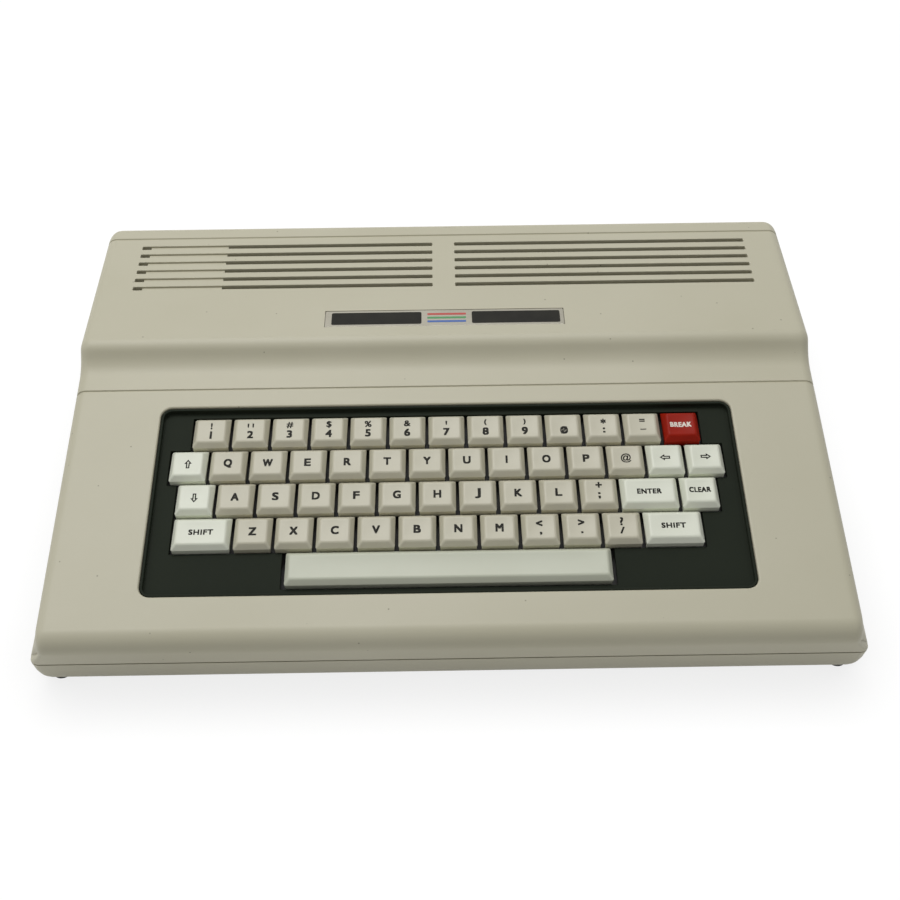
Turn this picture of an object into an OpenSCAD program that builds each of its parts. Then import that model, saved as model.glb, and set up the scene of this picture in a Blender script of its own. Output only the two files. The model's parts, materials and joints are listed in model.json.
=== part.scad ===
// Home computer with a built-in keyboard: a wedge-shaped two-part case, 53 sprung
// keys, a plug-in cartridge bay behind a flap, and sockets and buttons at the back.
// Z is up from the table, the front faces -Y and the cartridge bay faces +X.

/* [Case] */
// Width of the case along the seam, where it is widest
body_w = 380; // [374:1:392]
// Draw-in of each side from the seam up to the top edge
side_draw = 5.4; // [3:0.1:6]
// Draw-in of each side where the bottom edge is rounded
foot_draw = 3.2; // [2.4:0.1:5]
// Draw-in of the front and back where the bottom edge is rounded
foot_front = 0.8; // [0.4:0.1:1.2]
// Height of the rounded bottom edge
foot_edge_h = 8; // [5:0.5:10]
// Depth of the case from its nose to its back wall
body_d = 258; // [254:1:275]
// Height of the raised back above the table
body_h = 76; // [74:0.5:84]
// Drop from the raised back to the deck's slope carried on to the very front
step_drop = 36.3; // [35:0.1:37.5]
// Slope of the deck and keyboard
deck_angle = 10.3; // [9:0.1:10.8]
// Lean of the front face, back towards its foot
face_lean = 15; // [8:0.5:18]
// Wall thickness of both case halves
wall = 3; // [2.4:0.1:3.4]
// Height of the seam between the case halves
seam_h = 20; // [19:0.5:22]
// Open line left at the seam
seam_gap = 0.7; // [0.4:0.1:1]
// Radius of the nose between deck and front face
nose_r = 8.5; // [6:0.5:9.5]
// Radius of the two front corners in plan
front_corner_r = 4.2; // [3.6:0.1:6]
// Radius of the two back corners in plan
back_corner_r = 8; // [6:0.5:10]
// Radius of the top edges along both sides
edge_r = 5.5; // [3:0.5:6.5]
// Radius of the top edge along the back
back_edge_r = 4; // [3.6:0.1:6]
// Width of the two decorative grooves
groove_w = 1.1; // [0.6:0.1:1.6]
// Depth of the grooves
groove_depth = 0.8; // [0.4:0.1:1]
// Distance from the back wall to the groove near it
back_groove = 11; // [9:0.2:14]

/* [Step up to the raised back] */
// Distance from the nose to where the ramp reaches the raised top
step_back = 159.4; // [157:0.2:161.6]
// Angle of the ramp
ramp_angle = 48; // [44:1:50]
// Radius of the hollow at the ramp's foot
step_foot_r = 16; // [11:0.5:17]
// Radius of the crest at the ramp's top
step_top_r = 8.6; // [7.6:0.1:9.4]

/* [Vents] */
// Slots in each of the two vent groups
vent_rows = 6; // [4:1:7]
// Distance from one slot to the next
vent_pitch = 7.05; // [5.6:0.05:7.2]
// Width of a slot
vent_w = 2.8; // [2:0.1:3.2]
// Distance from the back wall to the middle of the vents
vent_back = 36.6; // [35.4:0.2:39]
// Inner end of the slots from the case's middle
vent_inner_x = 6; // [4:0.5:10]
// Distance from the case's sides to the outer ends of the slots
vent_side = 26.4; // [25:0.2:32]
// Width of the baffle under the left slots
baffle_w = 42; // [30:1:60]
// Distance from the slots' outer ends to the baffle
baffle_gap = 4.5; // [3:0.5:8]
// Depth of the ribs' tops below the cover's surface
baffle_sunk = 1; // [0.5:0.1:1.5]

/* [Nameplate] */
// Width of the nameplate
badge_w = 122.5; // [90:0.5:135]
// Depth of the nameplate
badge_d = 12.6; // [9:0.1:14]
// Thickness of the nameplate
badge_t = 0.9; // [0.6:0.1:1.2]
// Distance from the ramp's top back to the middle of the nameplate
badge_in = 17; // [15:0.1:18.6]

/* [Keys] */
// Distance between neighbouring keys
key_pitch = 19.05; // [18.6:0.05:19.1]
// Gap between neighbouring key skirts
key_gap = 1.2; // [0.7:0.05:1.3]
// Height of a key cap
cap_h = 6; // [5.2:0.1:6.2]
// Upright skirt at the foot of a key cap
skirt_h = 2.8; // [1.6:0.1:3.4]
// Slope of a cap's sides, from skirt to top
side_taper = 2.6; // [1.6:0.1:3]
// Slope of a cap's front
front_taper = 2.6; // [1.6:0.1:3]
// Slope of a cap's back
back_taper = 3.4; // [2.6:0.1:4.2]
// Wall of a key cap
cap_wall = 1.3; // [1:0.1:1.5]
// Side of a key's square stem
stem_w = 5; // [4:0.1:5.4]
// Travel of a key
key_travel = 3.8; // [3:0.1:4]
// Distance from the nose to the middle row of keys
keys_front = 73.9; // [73.2:0.1:75.1]
// Height of the key tops above the deck
keys_proud = 1.4; // [1:0.1:2]

/* [Keyboard] */
// Width of the opening in the deck
opening_w = 280.2; // [276:0.2:281.4]
// Part of the opening in front of the middle row
opening_front = 52.6; // [51.1:0.1:53]
// Part of the opening behind the middle row
opening_rear = 52.7; // [51.4:0.1:53.4]
// Corner radius of the opening
opening_r = 5.5; // [2.5:0.5:7]
// Distance from the middle row up to the groove across the deck
deck_groove = 63.4; // [62.4:0.1:64.4]
// Thickness of the bezel plate
bezel_t = 1.6; // [1.2:0.1:1.8]
// Thickness of the bezel's lining, which stands up inside the opening
lining_t = 1.2; // [0.8:0.1:1.6]
// Depth of the lining's edge below the deck
lining_sunk = 0.8; // [0.4:0.1:1.4]
// Gap between the bezel and the keys around its edge
bezel_gap = 1; // [0.7:0.1:1.4]
// Thickness of the key frame's plate
frame_t = 2; // [1.6:0.1:2.4]
// Length of the stem guides under the key frame
guide_h = 3.5; // [2.5:0.1:3.8]
// Depth of the contact board's face below the key tops
contact_depth = 22.6; // [22.2:0.1:23.6]
// Thickness of the contact board
contact_t = 1.6; // [1.2:0.1:2]
// Radius of a rubber dome
dome_r = 3.4; // [2.8:0.1:4]

/* [Cartridge bay] */
// Distance from the nose to the middle of the cartridge slot
bay_back = 160; // [157:0.5:162]
// Length of the slot in the side wall
bay_w = 104; // [90:1:106]
// Height of the slot's lower edge above the table
bay_low = 12.5; // [12:0.1:13.5]
// Height of the slot
bay_h = 22; // [20:0.5:23]
// Thickness of the flap
flap_t = 2; // [1.6:0.1:2.4]
// Radius of the flap's pivot pins
pivot_r = 1.2; // [1:0.05:1.4]

/* [Back panel] */
// Height of the sockets and buttons above the table
port_h = 24; // [23:0.1:25]
// Travel of the power and reset buttons
button_travel = 3; // [2:0.1:3.4]
// Side of a square button
button_w = 12; // [9:0.5:12.5]
// Reach of the buttons beyond the back wall
button_proud = 4; // [3.6:0.1:5]
// Distance from the case's sides to the middle of a button
button_side = 48; // [46:0.5:50]
// Travel of the channel slider
slider_travel = 4; // [3:0.1:4.5]
// Radius of the television jack's sleeve
jack_r = 4.15; // [4:0.05:4.3]
// Radius of a round socket's outer groove
din_r = 6.9; // [6.6:0.1:7.2]

/* [Board and supply] */
// Distance from the case's right side to the main board
board_side = 60; // [59:0.5:62]
// Distance from the nose to the main board's front edge
board_front = 85; // [82:0.5:88]
// Thickness of the main board
board_t = 1.6; // [1.4:0.1:1.8]
// Height of the main board's pillars
pillar_h = 5; // [4:0.1:5.4]
// Distance from the case's left side to the middle of the transformer
core_side = 53; // [52:0.5:54]
// Width of the transformer's core
core_w = 58; // [50:1:60]
// Height of the transformer's core
core_h = 46; // [38:1:48]

/* [Feet] */
// Height of the rubber feet
foot_h = 4; // [3.5:0.1:4.5]
// Radius of a foot
foot_r = 4.5; // [4:0.1:4.6]

/* [Hidden] */
$fn = 48;
slack = 0.3;
run_slack = 0.05;
past = 1;
corner_step = 22.5;
arc_parts = 4;

front_y = -(body_d + button_proud) / 2;
back_y = front_y + body_d;
front_h = body_h - step_drop;
side_x = body_w / 2;
top_x = side_x - side_draw;
// Inside of the right wall beside the cartridge bay, where part of the draw-in is used up
bay_lean = 0.62;
inner_x = side_x - wall - bay_lean * side_draw;
inner_back = back_y - wall;
floor_z = foot_h + wall;

step_y = front_y + step_back;
vent_y = back_y - vent_back;
vent_outer_x = side_x - vent_side;
badge_y = step_y + badge_in;
bay_y = front_y + bay_back;
key_y = front_y + keys_front;
key_z = deck_z(key_y) + keys_proud / cos(deck_angle);

// Case halves
lip_t = 1.5;
lip_gap = 0.6;
lip_h = 4;
floor_slot_w = 3;
floor_slot_l = 60;

// Screws
head_r = 2.8;
head_h = 2.2;
thread_r = 1.5;
pilot_r = thread_r + 0.1;
hole_r = thread_r + 0.3;
sink_r = head_r + 0.4;
post_r = 4.5;
post_top = seam_h + 3;
post_seat = 16;
case_screw_l = 14;
post_inset = 16;
post_front = front_y + 24;
post_rear = back_y - 29;
case_posts = [for (x = [-1, 1], y = [post_front, post_rear]) [x * (side_x - post_inset), y]];

// Keyboard, in its own frame: z = 0 at the key tops, y along the slope
deck_top = -keys_proud;
deck_under = deck_top - wall;
bezel_top = deck_under - slack;
bezel_under = bezel_top - bezel_t;
frame_top = -cap_h - key_travel - 0.8;
frame_under = frame_top - frame_t;
guide_end = frame_under - guide_h;
stem_end = guide_end - 1.5;
rim_t = 1.8;
rim_side = 3.5;
rim_x = opening_w / 2 + rim_side;
rim_front = opening_front + rim_side;
rim_rear = opening_rear + rim_side;
boss_r = 3.5;
boss_x = rim_x + boss_r + 1;
boss_rows = [-46, 2, 50];
keyboard_screw_l = 8;
guide_wall = 2;
sheet_t = 0.8;
sheet_x = 131;
contact_x = 141;
contact_y = 50;
contact_post_x = 136;
contact_post_r = 3;
contact_post_rows = [-44, 0, 44];
contact_screw_l = 6.5;
space_post_x = 3 * key_pitch;
tail_w = 42;
tail_t = 0.5;
tail_level = 7;
tail_lean = 4;
tail_depth = contact_depth + contact_t - tail_t;
// Place in [y, z] where the tail leaves the contact board
tail_start = [key_y + contact_y * cos(deck_angle) + tail_depth * sin(deck_angle),
              key_z + contact_y * sin(deck_angle) - tail_depth * cos(deck_angle)];
tail_socket_h = 9.5;
tail_socket_d = 6;

// Transformer
core_d = 28;
coil_w = 38;
coil_d = 46;
coil_h = 28;
core_x = core_side - side_x;
core_y = back_y - 66;
ear_w = 9;

// Main board and what stands on it
board_gap = 1;
board_left = core_x + core_w / 2 + ear_w + board_gap;
board_right = side_x - board_side;
board_z = floor_z + pillar_h;
board_top = board_z + board_t;
board_back = back_y - 8;
board_y = front_y + board_front;
pillar_r = 3.5;
pillar_inset = 8;
pillar_back = 40;
board_screw_l = 5.5;
board_pillars = [
    for (x = [board_left + pillar_inset, board_right - pillar_inset],
         y = [board_y + pillar_inset, board_back - pillar_back]) [x, y]
];
chip_h = 4;
// Chips as [width, depth], placed from the board's left edge and its front or back edge
long_chip = [14, 52];
long_chip_x = [36, 60, 84, 108];
long_chip_back = 56;
wide_chip = [36, 14];
wide_chip_x = 52;
wide_chip_front = [42, 64];
small_chip = [7.5, 20];
small_chip_x = [102, 116, 130, 144];
small_chip_front = [38, 72];
// Capacitors as [x from the board's left edge, y from its front edge, radius, height]
capacitors = [[13, 34, 6, 16], [27, 34, 6, 16], [172, 34, 4, 12]];
sink_x = board_left + 12;
sink_y = board_back - 66;
sink_l = 46;
sink_h = 26;
sink_t = 4;
fin_l = 8;
fin_t = 2;
fin_pitch = 10;

// Cartridge connector
card_depth = 63;
connector_w = 12;
connector_h = 17;
edge_y = 66;
edge_end = 4;
edge_depth = 9;
edge_slot = 2.2;

// Cartridge flap
flap_play = 0.6;
flap_x = inner_x - flap_play - flap_t;
flap_over = 1.5;
pin_l = 3;
ear_t = 4;
ear_r = pivot_r + 1.8;
pivot_x = flap_x + flap_t / 2;
pivot_z = bay_low + bay_h + pivot_r + 1;

// Sockets and switches
switch_w = 16;
switch_d = 24;
switch_h = 12;
switch_y = inner_back - 11 - switch_d;
button_x = side_x - button_side;
button_stem = 4.8;
button_stem_l = 14;
din_w = 19;
din_d = 14;
din_core_r = 5.6;
din_depth = 8;
din_hole_r = 9;
// Sockets and the modulator's can, placed from the main board's left edge
din_x = [for (x = [16, 42, 72, 98]) board_left + x];
din_pin_r = 0.9;
din_pin_ring = 3.6;
can_x = board_left + 128;
can_w = 62;
can_d = 38;
can_h = 23;
can_wall = 1;
can_back = inner_back - 2.5;
jack_x = can_x + 12;
jack_l = back_y + 3 - can_back;
jack_hole_r = 8;
jack_bore_r = 1.65;
slider_x = can_x + 38;
slider_w = 3.2;
slot_h = slider_w + 2 * slack;
gland_side = 25;
gland_x = gland_side - side_x;
gland_r = 6.4;
gland_rim_r = 8;
gland_rim_t = 1.5;
gland_bore_r = 3.4;
gland_l = 12;

letter_rows = [["qwertyuiop", 2, 0.5], ["asdfghjkl", 3, 0.75], ["zxcvbnm", 4, 1.25]];
// Name, row, left edge in key widths from the first number key, and width
named_keys = [
    ["key_break", 1, 12, 1],
    ["key_up", 2, -0.5, 1],
    ["key_left", 2, 11.5, 1],
    ["key_right", 2, 12.5, 1],
    ["key_down", 3, -0.25, 1],
    ["key_enter", 3, 10.75, 1.5],
    ["key_clear", 3, 12.25, 1],
    ["key_left_shift", 4, -0.25, 1.5],
    ["key_right_shift", 4, 11.25, 1.5],
];
space_key = [5, 2.5, 8];
number_places = [for (i = [0:11]) [1, i, 1]];
sign_places = [[2, 10.5, 1], [3, 9.75, 1], [4, 8.25, 1], [4, 9.25, 1], [4, 10.25, 1]];
letter_places = [for (r = letter_rows) for (i = [0:len(r[0]) - 1]) [r[1], r[2] + i, 1]];
named_places = [for (k = named_keys) [k[1], k[2], k[3]]];
all_places = concat(number_places, sign_places, letter_places, named_places, [space_key]);
// Row and the left and right end of its keys
row_spans = [[1, 0, 13], [2, -0.5, 13.5], [3, -0.25, 13.25], [4, -0.25, 12.75], [5, 2.5, 10.5]];
row_middle = (row_spans[0][1] + row_spans[0][2]) / 2;

// Side profile of the case

function deck_z(y) = front_h + (y - front_y) * tan(deck_angle);

// The front face is a straight line that starts where the nose ends
nose_z = deck_z(front_y + nose_r) - nose_r / cos(deck_angle);
face_foot = front_y + nose_r - nose_r * cos(face_lean)
    + (nose_z - nose_r * sin(face_lean)) * tan(face_lean);
function face_y(z) = face_foot - z * tan(face_lean);

function unit(v) = v / norm(v);

// Points of an arc of radius r that rounds corner q between its neighbours p and n
function rounded(p, q, n, r) =
    let (u = unit(p - q), v = unit(n - q), half = acos(u * v) / 2,
         c = q + unit(u + v) * r / sin(half), a = q + u * r / tan(half) - c,
         b = q + v * r / tan(half) - c, start = atan2(a[1], a[0]),
         turn = atan2(a[0] * b[1] - a[1] * b[0], a * b))
    [for (i = [0:arc_parts]) c + r * [cos(start + turn * i / arc_parts), sin(start + turn * i / arc_parts)]];

// Profile in [y, z] down to height low, a thickness inside the outer one, for a
// cross-section [x, front inset, back inset, drop of the top]
function profile(thick, cut, low) =
    let (face = face_foot + cut[1] + thick / cos(face_lean),
         drop = cut[3],
         deck = front_h - front_y * tan(deck_angle) - (thick + drop) / cos(deck_angle),
         ramp = body_h - step_y * tan(ramp_angle) - (thick + drop) / cos(ramp_angle),
         top = body_h - thick - drop,
         back = back_y - cut[2] - thick,
         nose = (face - deck * tan(face_lean)) / (1 + tan(deck_angle) * tan(face_lean)),
         foot = (deck - ramp) / (tan(ramp_angle) - tan(deck_angle)),
         p0 = [face - low * tan(face_lean), low],
         p1 = [nose, deck + nose * tan(deck_angle)],
         p2 = [foot, deck + foot * tan(deck_angle)],
         p3 = [(top - ramp) / tan(ramp_angle), top],
         p4 = [back, top],
         p5 = [back, low])
    concat([p0],
           rounded(p0, p1, p2, nose_r - thick),
           rounded(p1, p2, p3, step_foot_r + thick + drop),
           rounded(p2, p3, p4, step_top_r - thick - drop),
           rounded(p3, p4, p5, back_edge_r - thick),
           [p5]);

// Inset of a corner of radius r at a distance d from its outermost side
function corner_inset(r, d) = d < r ? r - sqrt(r * r - (r - d) * (r - d)) : 0;

// Cross-sections from left to right, with x at the top edge
function half_sections(thick) =
    let (front_r = front_corner_r - thick, r = back_corner_r - thick, e = max(edge_r - thick, 0.2))
    [for (a = [0:corner_step:90])
        let (d = r * (1 - cos(a)))
        [top_x - thick - d, corner_inset(front_r, d), corner_inset(r, d), corner_inset(e, d)]];
function sections(thick) =
    let (half = half_sections(thick), last = len(half) - 1)
    concat([for (s = half) [-s[0], s[1], s[2], s[3]]], [for (i = [last:-1:0]) half[i]]);

// Solid inside the case's outer skin above height low, which is close to the seam
module case_form(thick, low) {
    cuts = sections(thick);
    rings = [for (s = cuts) profile(thick, s, low)];
    n = len(rings[0]);
    last = len(cuts) - 1;
    // The rounded nose and the rounded back edge each run down to one low point
    first_own = arc_parts + 2;
    last_own = n - 3 - arc_parts;
    own = last_own - first_own + 1;
    function wide(x) = x + sign(x) * side_draw;
    points = concat(
        [for (k = [0:last]) for (j = [0:n - 1])
            [j == 0 || j == n - 1 ? wide(cuts[k][0]) : cuts[k][0], rings[k][j][0], rings[k][j][1]]],
        [for (k = [0, last]) for (j = [first_own:last_own]) [wide(cuts[k][0]), rings[k][j][0], low]]
    );
    // Index of the low point under point j of the left (0) or right (1) end ring
    function under(side, j) = j < first_own ? side * last * n
        : j > last_own ? side * last * n + n - 1
        : (last + 1) * n + side * own + j - first_own;
    function turned(side, t) = side == 1 ? t : [t[2], t[1], t[0]];
    skin = [
        for (k = [0:last - 1]) for (j = [0:n - 2])
            let (a = k * n + j)
            each [[a, a + 1, a + 1 + n], [a, a + 1 + n, a + n]]
    ];
    ends = [
        for (side = [0, 1]) for (j = [1:n - 3])
            let (a = side * last * n + j, ua = under(side, j), ub = under(side, j + 1))
            each concat([turned(side, [a, a + 1, ub])], ua == ub ? [] : [turned(side, [a, ub, ua])])
    ];
    function low_chain(side) = [for (j = [first_own - 1:last_own + 1]) under(side, j)];
    left = low_chain(0);
    right = low_chain(1);
    floor_faces = concat(
        [for (k = [1:last - 2])
            each [[k * n, (k + 1) * n, (k + 2) * n - 1], [k * n, (k + 2) * n - 1, (k + 1) * n - 1]]],
        [for (i = [0:own]) [n, left[i + 1], left[i]]],
        [[n, 2 * n - 1, n - 1]],
        [for (i = [0:own]) [(last - 1) * n, right[i], right[i + 1]]],
        [[(last - 1) * n, (last + 1) * n - 1, last * n - 1]]
    );
    polyhedron(points, concat(skin, ends, floor_faces), convexity = 6);
}

// How far the bottom edge is drawn in at height z, from 0 to 1
function foot_part(z) =
    let (u = (foot_edge_h - (z - foot_h)) / foot_edge_h) u > 0 ? 1 - sqrt(1 - min(u * u, 1)) : 0;

// Draw-in of the sides at height z, up to the lip's top
function draw_at(z) = z < seam_h
    ? foot_draw * foot_part(z)
    : side_draw * (z - seam_h) / (nose_z - seam_h);

// Outline of the case at height z, a thickness inside the outer skin
function outline(thick, z) =
    let (x = side_x - thick - draw_at(z),
         front = face_y(z) + thick / cos(face_lean) + foot_front * foot_part(z),
         back = back_y - thick - foot_front * foot_part(z))
    [for (c = [[-1, -1], [1, -1], [1, 1], [-1, 1]])
        let (r = max((c[1] < 0 ? front_corner_r : back_corner_r) - thick, 0.4),
             mid = [c[0] * (x - r), c[1] < 0 ? front + r : back - r],
             start = atan2(c[1], c[0]) - 45)
        for (t = [start:corner_step:start + 90]) [mid[0] + r * cos(t), mid[1] + r * sin(t), z]];

// Solid through the outlines at the given heights
module tray_form(thick, heights) {
    points = [for (z = heights) each outline(thick, z)];
    top = len(heights) - 1;
    n = len(points) / (top + 1);
    skin = [
        for (i = [0:top - 1]) for (j = [0:n - 1])
            let (a = i * n + j, b = i * n + (j + 1) % n)
            each [[a, a + n, b + n], [a, b + n, b]]
    ];
    polyhedron(points, concat(skin, [[for (j = [0:n - 1]) j], [for (j = [n - 1:-1:0]) top * n + j]]),
               convexity = 4);
}

// Small shapes

module on_keyboard() {
    translate([0, key_y, key_z]) rotate([deck_angle, 0, 0]) children();
}

// Box centred in x and y on a point, between two heights
module block(w, d, low, high) {
    translate([-w / 2, -d / 2, low]) cube([w, d, high - low]);
}

module rounded_square(w, d, r) {
    square([w - 2 * r, d], center = true);
    square([w, d - 2 * r], center = true);
    for (x = [-1, 1], y = [-1, 1]) translate([x * (w / 2 - r), y * (d / 2 - r)]) circle(r);
}

module along_y(from, to, r) {
    translate([0, from, 0]) rotate([-90, 0, 0]) cylinder(h = to - from, r = r);
}

// Screw with its head's seat at z = 0 and its thread pointing up
module screw(l) {
    translate([0, 0, -head_h]) cylinder(h = head_h, r = head_r);
    cylinder(h = l, r = thread_r);
}

module each_slot() {
    for (i = [0:vent_rows - 1]) translate([0, vent_y + (i - (vent_rows - 1) / 2) * vent_pitch, 0]) children();
}

// Straight slot with round ends from x0 to x1, through z from low to high
module slot(x0, x1, w, low, high) {
    translate([x0 + w / 2, -w / 2, low]) cube([x1 - x0 - w, w, high - low]);
    for (x = [x0 + w / 2, x1 - w / 2]) translate([x, 0, low]) cylinder(h = high - low, r = w / 2);
}

// Case

// Everything that is cut through the back wall of both halves
module back_cuts() {
    for (x = [-1, 1]) translate([x * button_x, inner_back, port_h]) block_y(button_w + 2 * slack);
    for (x = din_x) translate([x, 0, port_h]) along_y(inner_back - past, back_y + past, din_hole_r);
    translate([jack_x, 0, port_h]) along_y(inner_back - past, back_y + past, jack_hole_r);
    translate([slider_x + slider_travel / 2, inner_back, port_h])
        block_y(slider_w + slider_travel + 2, slot_h + 2);
    translate([gland_x, 0, port_h]) {
        along_y(inner_back - past, back_y + past, gland_r + run_slack);
        along_y(back_y - gland_rim_t, back_y + past, gland_rim_r + run_slack);
    }
}

// Square cut through the back wall
module block_y(w, h = 0) {
    high = h == 0 ? w : h;
    translate([-w / 2, -past, -high / 2]) cube([w, wall + 2 * past, high]);
}

module bay_cut() {
    translate([inner_x - past, bay_y - bay_w / 2, bay_low]) cube([wall + side_draw + 2 * past, bay_w, bay_h]);
}

// Upright block with the opening's outline, drawn in by inset
module opening_block(inset, low, high) {
    length = opening_front + opening_rear;
    translate([0, (opening_rear - opening_front) / 2, low])
        linear_extrude(high - low)
            rounded_square(opening_w - 2 * inset, length - 2 * inset, opening_r - inset);
}

module deck_opening() {
    on_keyboard() opening_block(0, deck_under - past, deck_top + past);
}

module vent_slots() {
    each_slot() for (x = [-1, 1])
        slot(min(x * vent_inner_x, x * vent_outer_x), max(x * vent_inner_x, x * vent_outer_x),
             vent_w, body_h - wall - past, body_h + past);
}

// Groove across a flat of the cover at z = 0 and down both sides by h
module groove_cut(h) {
    r = edge_r - groove_depth;
    right = concat([[side_x - groove_depth, -h]],
                   [for (t = [0:30:90]) [top_x - edge_r + r * cos(t), r * sin(t) - edge_r]]);
    left = [for (i = [len(right) - 1:-1:0]) [-right[i][0], right[i][1]]];
    translate([0, groove_w / 2, 0]) rotate([90, 0, 0]) linear_extrude(groove_w) difference() {
        translate([-body_w, -h]) square([2 * body_w, h + past]);
        polygon(concat(right, left));
    }
}

module grooves() {
    translate([0, back_y - back_groove, body_h]) groove_cut(body_h - seam_h - past);
    on_keyboard() translate([0, deck_groove, deck_top]) groove_cut(key_z - seam_h);
}

module cover_bosses() {
    for (p = case_posts) {
        top = (p[1] < step_y ? deck_z(p[1] - post_r) : body_h) - wall / 2;
        translate([p[0], p[1], post_top]) difference() {
            cylinder(h = top - post_top, r = post_r);
            translate([0, 0, -past])
                cylinder(h = case_screw_l - (post_top - post_seat) + 2 + past, r = pilot_r);
        }
    }
    on_keyboard() for (x = [-1, 1], y = boss_rows) translate([x * boss_x, y, frame_top]) difference() {
        cylinder(h = deck_top - wall / 2 - frame_top, r = boss_r);
        translate([0, 0, -past]) cylinder(h = keyboard_screw_l - frame_t + 1 + past, r = pilot_r);
    }
}

// Ears that carry the flap's pivot pins
module flap_ears() {
    ear_low = pivot_x - ear_r;
    ear_high = side_x - wall;
    ear_y = bay_w / 2 + flap_over + slack + ear_t / 2;
    for (y = [-1, 1]) translate([0, bay_y + y * ear_y, pivot_z]) difference() {
        translate([ear_low, -ear_t / 2, -ear_r]) cube([ear_high - ear_low, ear_t, 2 * ear_r]);
        translate([pivot_x, 0, 0]) along_y(-ear_t, ear_t, pivot_r + run_slack);
    }
}

module top_cover() {
    color("#bdb9a3") {
        difference() {
            case_form(0, seam_h + seam_gap / 2);
            case_form(wall, seam_h - past);
            deck_opening();
            vent_slots();
            grooves();
            translate([0, badge_y, 0])
                block(badge_w + slack, badge_d + slack, body_h - badge_t, body_h + past);
            back_cuts();
            bay_cut();
        }
        cover_bosses();
        flap_ears();
    }
}

module floor_slots() {
    for (x = [-50, 40], i = [0:7])
        translate([x, front_y + 48 + i * 3 * floor_slot_w, 0])
            block(floor_slot_l, floor_slot_w, foot_h - past, floor_z + past);
}

module bottom_case() {
    switch_low = port_h - switch_h / 2;
    color("#b5b19b") difference() {
        union() {
            difference() {
                tray_form(0, concat([for (u = [0, 0.04, 0.16, 0.4, 1]) foot_h + u * foot_edge_h],
                                    [seam_h - seam_gap / 2]));
                tray_form(wall, [floor_z, seam_h]);
                tray_form(wall, [seam_h - seam_gap, seam_h + past]);
            }
            difference() {
                union() {
                    tray_form(wall + lip_gap, [seam_h - lip_h, seam_h, seam_h + lip_h]);
                    tray_form(wall / 2, [seam_h - lip_h, seam_h - seam_gap]);
                }
                tray_form(wall + lip_gap + lip_t, [seam_h - lip_h - past, seam_h, seam_h + lip_h + past]);
                translate([pivot_x, bay_y, 0])
                    block(4 * flap_t + 2 * wall, bay_w + 2 * (flap_over + ear_t + 1), floor_z, body_h);
                translate([0, inner_back, 0])
                    block(2 * (button_x + button_w), 8 * lip_t, floor_z, body_h);
                translate([gland_x, inner_back, 0]) block(3 * gland_rim_r, 8 * lip_t, floor_z, body_h);
            }
            for (p = case_posts) translate([p[0], p[1], foot_h + past])
                cylinder(h = post_top - foot_h - past, r = post_r);
            for (p = board_pillars) translate([p[0], p[1], foot_h + past])
                cylinder(h = board_z - foot_h - past, r = pillar_r);
            for (x = [-1, 1]) translate([x * button_x, switch_y + switch_d / 2, 0])
                block(switch_w, switch_d, foot_h + past, switch_low);
            for (x = [-1, 1]) translate([core_x + x * (core_w + ear_w) / 2, core_y, foot_h + past])
                cylinder(h = pillar_h + wall - past, r = pillar_r);
        }
        for (p = case_posts) translate([p[0], p[1], 0]) {
            translate([0, 0, foot_h - past]) cylinder(h = post_seat - foot_h + past, r = sink_r);
            cylinder(h = body_h, r = hole_r);
        }
        for (p = board_pillars) translate([p[0], p[1], floor_z]) cylinder(h = body_h, r = pilot_r);
        for (x = [-1, 1]) translate([core_x + x * (core_w + ear_w) / 2, core_y, floor_z])
            cylinder(h = body_h, r = pilot_r);
        floor_slots();
        back_cuts();
        bay_cut();
    }
}

module rubber_feet() {
    foot_x = side_x - foot_draw - foot_r - 1.5;
    color("#1b1b1a") for (x = [-1, 1], y = [face_y(foot_h) + foot_r + 2.4, back_y - back_corner_r - foot_r])
        translate([x * foot_x, y, 0]) cylinder(h = foot_h, r = foot_r);
}

module screws() {
    color("#8f9092") {
        for (p = case_posts) translate([p[0], p[1], post_seat]) screw(case_screw_l);
        for (p = board_pillars) translate([p[0], p[1], board_top]) mirror([0, 0, 1]) screw(board_screw_l);
        for (x = [-1, 1]) translate([core_x + x * (core_w + ear_w) / 2, core_y, board_z + board_t])
            mirror([0, 0, 1]) screw(board_screw_l);
        on_keyboard() {
            for (x = [-1, 1], y = boss_rows) translate([x * boss_x, y, frame_under]) screw(keyboard_screw_l);
            for (x = [-1, 1], y = contact_post_rows)
                translate([x * contact_post_x, y, -contact_depth - contact_t]) screw(contact_screw_l);
        }
    }
}

module nameplate() {
    color("#b9bab6") translate([0, badge_y, 0]) block(badge_w, badge_d, body_h - badge_t, body_h);
}

module vent_baffle() {
    under = body_h - wall;
    plate_t = 1.5;
    left = -vent_outer_x + baffle_gap;
    color("#bdb9a3") {
        translate([left, vent_y - vent_rows * vent_pitch / 2, under - plate_t])
            cube([baffle_w, vent_rows * vent_pitch, plate_t]);
        each_slot() translate([left, -vent_w / 2 + slack / 2, under - past])
            cube([baffle_w, vent_w - slack, wall - baffle_sunk + past]);
    }
}

// Keyboard

function place_x(p) = (p[1] + p[2] / 2 - row_middle) * key_pitch;
function place_y(p) = (3 - p[0]) * key_pitch;
// Middles of a key's stem and of the guide posts under the space bar
function stems(p) = p[2] > 4
    ? [for (x = [-1, 0, 1]) [place_x(p) + x * space_post_x, place_y(p)]]
    : [[place_x(p), place_y(p)]];

// Tapered block: a base rectangle at height low and a top one at height high, each as
// [left, right, front, back]
module taper(base, top, low, high) {
    function ring(r, z) = [[r[0], r[2], z], [r[1], r[2], z], [r[1], r[3], z], [r[0], r[3], z]];
    polyhedron(concat(ring(base, low), ring(top, high)),
               [[0, 1, 2, 3], [7, 6, 5, 4], [0, 4, 5, 1], [1, 5, 6, 2], [2, 6, 7, 3], [3, 7, 4, 0]]);
}

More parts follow.
